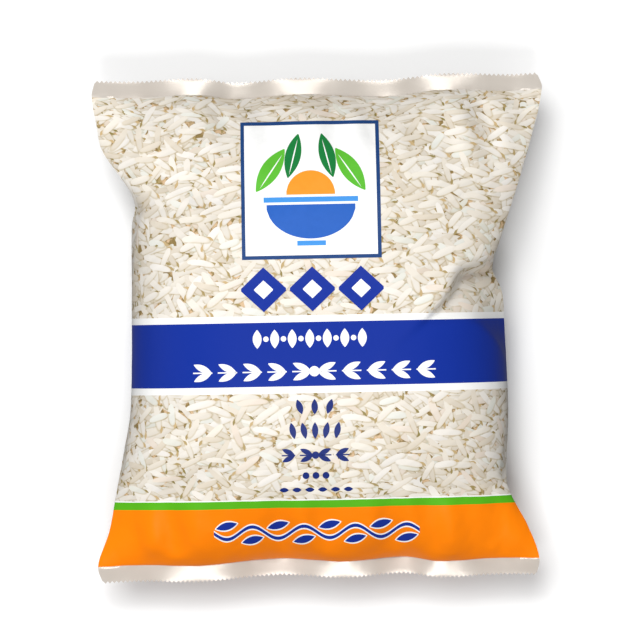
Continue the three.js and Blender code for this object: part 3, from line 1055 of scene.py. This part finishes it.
# Every ornament as (name, motif, ink, how many inks lie under it, its centre, how many stand in a
# row, their spacing and their tilt)
ORNAMENTS = (
    ("emblem_frame", border(97.4, 92.2), "frame_blue", 0, (-2.9, 97.1), 1, 0, 0),
    ("emblem_ground", panel(92.2, 92.2), "white", 0, (-2.9, 97.1), 1, 0, 0),
    ("emblem_sun", dome(17, 17), "sun_orange", 1, (-2.9, 93.5), 1, 0, 0),
    ("emblem_bowl", dome(31, -24), "bowl_blue", 1, (-2.9, 86.5), 1, 0, 0),
    ("emblem_rim", panel(66, 3.6), "rim_blue", 1, (-2.9, 90.0), 1, 0, 0),
    ("emblem_foot", panel(20, 3.4), "rim_blue", 1, (-2.9, 59.4), 1, 0, 0),
    ("emblem_outer_leaves", spindle(36, 13, turn=90), "leaf_green", 1, (-2.9, 111), 2, 56, 34),
    ("emblem_inner_leaves", spindle(32, 11, turn=90), "deep_green", 1, (-2.9, 121), 2, 24, 14),
    ("emblem_outer_veins", spindle(28, 0.9, turn=90), "white", 2, (-2.9, 110), 2, 55, 34),
    ("emblem_inner_veins", spindle(25, 0.9, turn=90), "white", 2, (-2.9, 120), 2, 23.5, 14),
    ("lozenges", spindle(31.3, 31.3, 1.0), "blue", 0, (-3.0, 27.4), 3, 34, 0),
    ("lozenge_middles", spindle(13, 13, 1.0), "white", 1, (-3.0, 27.4), 3, 34, 0),
    ("band_grains", spindle(12.8, 6.2, turn=90), "white", 0, (-5.5, -7.0), 7, 12.2, 0),
    ("band_dots", disc(1.9), "white", 0, (-5.5, -7.0), 6, 12.2, 0),
    ("band_garland", sprig(13.5, 4.6, 25, 3.0), "white", 0, (-2.7, -29.9), 10, 17.3, -90),
    ("band_middle", disc(3.6), "white", 0, (-2.7, -29.9), 1, 0, 0),
    ("first_row", spindle(10.6, 4.6, turn=90), "row_blue", 0, (-3, -54.6), 3, 10.5, -18),
    ("second_row", spindle(11.5, 4.4, turn=90), "row_blue", 0, (-3, -71.3), 5, 7.8, -12),
    ("third_row", sprig(9.5, 3.6, 25, 2.4), "row_blue", 0, (-3, -88.6), 4, 12.6, -90),
    ("third_row_middle", disc(2.6), "row_blue", 0, (-3, -88.6), 1, 0, 0),
    ("fourth_row", disc(2.4), "row_blue", 0, (-3, -103), 3, 7.0, 0),
    ("fifth_row", spindle(6.4, 3.2), "row_blue", 0, (-3, -113.0), 6, 9.0, 0),
    ("vine_edge", vine(1.0), "white", 0, (-3.2, -143.5), VINE_WAVES, VINE_LENGTH / VINE_WAVES, 0),
    ("vine", vine(0.0), "blue", 1, (-3.2, -143.5), VINE_WAVES, VINE_LENGTH / VINE_WAVES, 0),
)


def seen(colour):
    """A colour out of 255 as its share of light."""
    shares = (c / 255 for c in colour)
    return tuple(c / 12.92 if c <= 0.04045 else ((c + 0.055) / 1.055) ** 2.4 for c in shares)


def printed_ornaments(film, film_piece):
    """Each ornament laid on the film and given the ink's thickness."""
    inks = {
        "white": WHITE,
        "blue": BLUE,
        "frame_blue": FRAME_BLUE,
        "row_blue": ROW_BLUE,
        "sun_orange": seen(SUN_ORANGE),
        "bowl_blue": seen(BOWL_BLUE),
        "rim_blue": seen(RIM_BLUE),
        "leaf_green": seen(LEAF_GREEN),
        "deep_green": seen(DEEP_GREEN),
    }
    inks = {name: ink("ink_" + name, colour) for name, colour in inks.items()}
    tree = printing_tree()
    made = []
    for name, (points, faces), ink_name, under, centre, count, spacing, tilt in ORNAMENTS:
        lift = INK_LIFT + INK_STEP * under
        values = {
            "Count": count,
            "Spacing": spacing * MM,
            "Tilt": math.radians(tilt),
            "Centre": ((centre[0] + film.shift[0]) * MM, (centre[1] + film.shift[1]) * MM, 0.0),
            "Lift": lift * MM,
            "Film": film_piece,
            "Ink": inks[ink_name],
        }
        flat = mesh_object(name, points, faces.tolist())
        made.append(put_through(flat, tree, values, solid=lift + SUNK))
    return made


def back_seam(film, film_piece):
    """The tube's own seam: a crimped strip along the middle of the back, from seal to seal."""
    length = 2 * (HALF_LENGTH - TOOTH_DEPTH - SEAM_END_GAP)
    counts = (SEAM_GRID[0], int(length / SEAM_GRID[1]))
    across, along = np.meshgrid(*(np.linspace(-0.5, 0.5, count) for count in counts))
    points = np.stack([across * SEAM_WIDTH, along * length, np.zeros_like(across)], axis=-1)
    points += film.shift * (1, 1, 0)
    faces = cells(np.arange(across.size).reshape(across.shape), -1)
    strip = mesh_object("back_seam", points.reshape(-1, 3), faces.tolist())
    values = {
        "Thickness": SEAM_HEIGHT * MM,
        "Rib pitch": RIB_PITCH * MM,
        "Rib height": RIB_HEIGHT * MM,
        "Film": film_piece,
        "Seam": seam_film(),
    }
    return put_through(strip, seam_tree(), values, solid=SEAM_HEIGHT + SUNK)


# Stage: floor, light and camera


def stage_floor():
    bpy.ops.mesh.primitive_plane_add(size=FLOOR_SIZE)
    floor = bpy.context.object
    floor.name = "floor"
    floor.visible_glossy = False
    floor.visible_diffuse = False
    material, _, surface = new_material("floor_white", Roughness=0.9)
    surface.inputs["Base Color"].default_value = (FLOOR_WHITE, FLOOR_WHITE, FLOOR_WHITE, 1)
    floor.data.materials.append(material)


def lamp(name, place, size, watts, mirrored):
    data = bpy.data.lights.new(name, "AREA")
    data.shape = "RECTANGLE"
    data.size, data.size_y = size
    data.energy = watts
    made = bpy.data.objects.new(name, data)
    made.location = place
    towards = [a - b for a, b in zip(LAMP_AIM, place)]
    made.rotation_euler = Vector(towards).to_track_quat("-Z", "Y").to_euler()
    made.visible_glossy = mirrored
    bpy.context.collection.objects.link(made)


def studio():
    world = bpy.data.worlds.new("studio")
    world.use_nodes = True
    background = world.node_tree.nodes["Background"]
    background.inputs["Color"].default_value = (1, 1, 1, 1)
    background.inputs["Strength"].default_value = WORLD_LIGHT
    bpy.context.scene.world = world
    for row in LAMPS:
        lamp(*row)
    view = bpy.context.scene.view_settings
    view.view_transform = "Standard"
    view.look = "None"


def camera(film):
    """Straight above the pack, with its outline as large in the frame as in the photograph."""
    data = bpy.data.cameras.new("camera")
    data.sensor_fit = "HORIZONTAL"
    data.sensor_width = 36
    data.lens = 36 * CAMERA_DISTANCE / (PHOTO_PIXELS * PIXEL)
    data.clip_end = 20
    made = bpy.data.objects.new("camera", data)
    off_x = (PHOTO_PIXELS / 2 - PACK_MIDDLE_PIXEL[0]) * PIXEL
    off_y = (PACK_MIDDLE_PIXEL[1] - PHOTO_PIXELS / 2) * PIXEL
    x = film.shift[0] + off_x * math.cos(PHOTO_ROLL) + off_y * math.sin(PHOTO_ROLL)
    y = film.shift[1] - off_x * math.sin(PHOTO_ROLL) + off_y * math.cos(PHOTO_ROLL)
    made.location = (x * MM, y * MM, (SEAL_HEIGHT[1] + CAMERA_DISTANCE) * MM)
    made.rotation_euler = (0, 0, -PHOTO_ROLL)
    bpy.context.collection.objects.link(made)
    bpy.context.scene.camera = made


film = Film()
film_piece = film_mesh(film)
finish = {
    "Tooth depth": TOOTH_DEPTH * MM,
    "Wrinkle height": WRINKLES[0] * MM,
    "Wrinkle size": WRINKLES[1] * MM,
    "Wrinkle seed": WRINKLES[2],
    "Print": printed_film(film),
    "Seal": seal_film(),
}
put_through(film_piece, finishing_tree(), finish)
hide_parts(NODE)
pieces = [film_piece, back_seam(film, film_piece), *printed_ornaments(film, film_piece)]

for piece in pieces:
    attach(piece, "root")

stage_floor()
studio()
camera(film)
